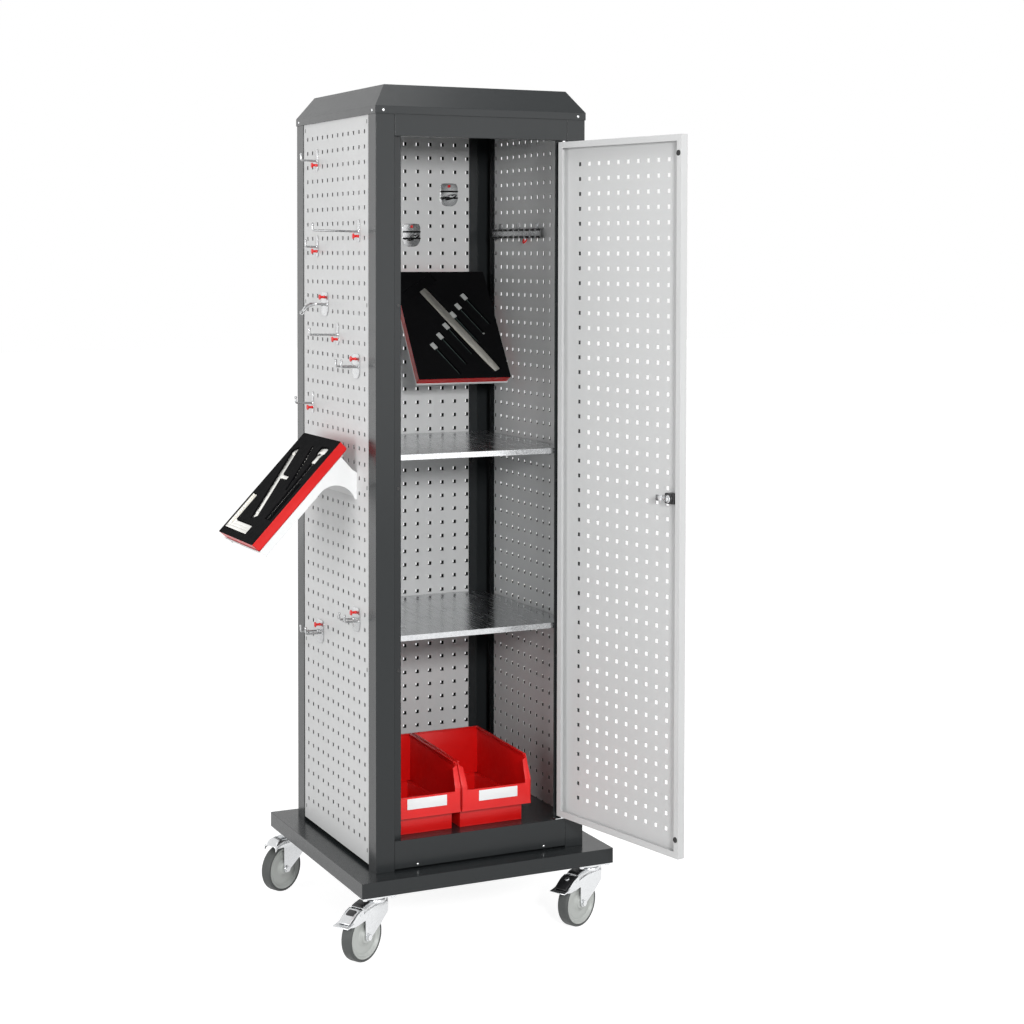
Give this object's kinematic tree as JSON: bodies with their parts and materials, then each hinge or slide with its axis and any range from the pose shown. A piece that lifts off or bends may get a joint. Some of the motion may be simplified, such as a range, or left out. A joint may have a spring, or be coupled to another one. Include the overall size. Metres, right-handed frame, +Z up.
{
  "type": "mobile tool cabinet",
  "caption": "Tall mobile tool cabinet on casters with perforated walls and one perforated door, shelves, storage bins, tilted tool trays and hooks.",
  "frame": {"origin": "on the floor, under the vertical centre axis of the cabinet body", "axes": "+Z up, the door side faces -Y, +X is to the right when facing the door side; the door stands open and swings about +Z at the right"},
  "size_m": [0.918, 1.0971, 2.1665],
  "materials": {
    "anthracite": "gloss",
    "light_grey": "satin",
    "galvanised": "satin",
    "zinc": "gloss",
    "chrome": "gloss",
    "white_sheet": "satin",
    "red_plastic": "gloss",
    "white_plastic": "satin",
    "black_plastic": "satin",
    "black_foam": "matte",
    "rubber": "matte",
    "tyre_grey": "matte",
    "rim_grey": "satin",
    "tool_steel": "satin"
  },
  "bodies": {
    "cabinet": {"base_platform": "anthracite", "post_front_left": "anthracite", "post_front_right": "anthracite", "post_rear_left": "anthracite", "post_rear_right": "anthracite", "header": "anthracite", "sill": "anthracite", "cabinet_floor": "anthracite", "roof_cap": "anthracite", "wall_left": "light_grey", "wall_right": "light_grey", "wall_rear": "light_grey", "black_plugs": "black_plastic", "cover_screws": "zinc", "hinge_pins": "zinc", "shelf_upper": "galvanised", "shelf_lower": "galvanised", "shelf_clips": "zinc", "caster_plates": "zinc", "caster_bolts": "zinc", "support_outer": "white_sheet", "support_inner": "white_sheet", "hooks": "chrome", "hook_clips": "red_plastic"},
    "door": {"door_panel": "light_grey", "door_buffers": "rubber", "lock_body": "black_plastic"},
    "lock": {"lock_cam": "zinc", "lock_knob": "black_plastic"},
    "swivel_front_left": {"fork_front_left": "zinc", "axle_front_left": "zinc"},
    "wheel_front_left": {"rim_front_left": "rim_grey", "tyre_front_left": "tyre_grey"},
    "pedal_front_left": {"brake_front_left": "zinc"},
    "swivel_front_right": {"fork_front_right": "zinc", "axle_front_right": "zinc"},
    "wheel_front_right": {"rim_front_right": "rim_grey", "tyre_front_right": "tyre_grey"},
    "pedal_front_right": {"brake_front_right": "zinc"},
    "swivel_rear_left": {"fork_rear_left": "zinc", "axle_rear_left": "zinc"},
    "wheel_rear_left": {"rim_rear_left": "rim_grey", "tyre_rear_left": "tyre_grey"},
    "swivel_rear_right": {"fork_rear_right": "zinc", "axle_rear_right": "zinc"},
    "wheel_rear_right": {"rim_rear_right": "rim_grey", "tyre_rear_right": "tyre_grey"},
    "storage_bin_left": {"bin_left": "red_plastic", "bin_label_left": "white_plastic"},
    "storage_bin_right": {"bin_right": "red_plastic", "bin_label_right": "white_plastic"},
    "tool_tray_outer": {"tray_outer": "red_plastic", "foam_outer": "black_foam", "bevel_gauge": "tool_steel", "steel_square": "tool_steel", "caliper_and_scribers": "tool_steel"},
    "tool_tray_inner": {"tray_inner": "red_plastic", "foam_inner": "black_foam", "flat_file": "tool_steel", "needle_files": "tool_steel"}
  },
  "joints": [
    {"name": "door_hinge", "type": "hinge", "parent": "cabinet", "child": "door", "pos_m": [0.2325, -0.286, 1.158], "axis": [0, 0, 1], "range_deg": [-101.5, 6.5]},
    {"name": "lock_turn", "type": "hinge", "parent": "door", "child": "lock", "pos_m": [0.31205, -0.70709, 1.155], "axis": [-0.9799, -0.1994, 0], "range_deg": [0, 180]},
    {"name": "swivel_front_left", "type": "hinge", "parent": "cabinet", "child": "swivel_front_left", "pos_m": [-0.301, -0.301, 0.148], "axis": [0, 0, 1], "continuous": true},
    {"name": "roll_front_left", "type": "hinge", "parent": "swivel_front_left", "child": "wheel_front_left", "pos_m": [-0.34257, -0.325, 0.0625], "axis": [0.5, -0.866, 0], "continuous": true},
    {"name": "brake_front_left", "type": "hinge", "parent": "swivel_front_left", "child": "pedal_front_left", "pos_m": [-0.36768, -0.3395, 0.124], "axis": [0.5, -0.866, 0], "range_deg": [0, 10]},
    {"name": "swivel_front_right", "type": "hinge", "parent": "cabinet", "child": "swivel_front_right", "pos_m": [0.301, -0.301, 0.148], "axis": [0, 0, 1], "continuous": true},
    {"name": "roll_front_right", "type": "hinge", "parent": "swivel_front_right", "child": "wheel_front_right", "pos_m": [0.2575, -0.32129, 0.0625], "axis": [0.4226, -0.9063, 0], "continuous": true},
    {"name": "brake_front_right", "type": "hinge", "parent": "swivel_front_right", "child": "pedal_front_right", "pos_m": [0.23121, -0.33354, 0.124], "axis": [0.4226, -0.9063, 0], "range_deg": [0, 10]},
    {"name": "swivel_rear_left", "type": "hinge", "parent": "cabinet", "child": "swivel_rear_left", "pos_m": [-0.301, 0.301, 0.148], "axis": [0, 0, 1], "continuous": true},
    {"name": "roll_rear_left", "type": "hinge", "parent": "swivel_rear_left", "child": "wheel_rear_left", "pos_m": [-0.34377, 0.27921, 0.0625], "axis": [0.454, -0.891, 0], "continuous": true},
    {"name": "swivel_rear_right", "type": "hinge", "parent": "cabinet", "child": "swivel_rear_right", "pos_m": [0.301, 0.301, 0.148], "axis": [0, 0, 1], "continuous": true},
    {"name": "roll_rear_right", "type": "hinge", "parent": "swivel_rear_right", "child": "wheel_rear_right", "pos_m": [0.25823, 0.27921, 0.0625], "axis": [0.454, -0.891, 0], "continuous": true},
    {"name": "lift_bin_left", "type": "slide", "parent": "cabinet", "child": "storage_bin_left", "axis": [0, 0, 1], "range_m": [0, 0.3]},
    {"name": "lift_bin_right", "type": "slide", "parent": "cabinet", "child": "storage_bin_right", "axis": [0, 0, 1], "range_m": [0, 0.3]},
    {"name": "lift_tray_outer", "type": "slide", "parent": "cabinet", "child": "tool_tray_outer", "axis": [-0.7265, 0, 0.6872], "range_m": [0, 0.15]},
    {"name": "lift_tray_inner", "type": "slide", "parent": "cabinet", "child": "tool_tray_inner", "axis": [0, -0.8405, 0.5418], "range_m": [0, 0.1]}
  ]
}
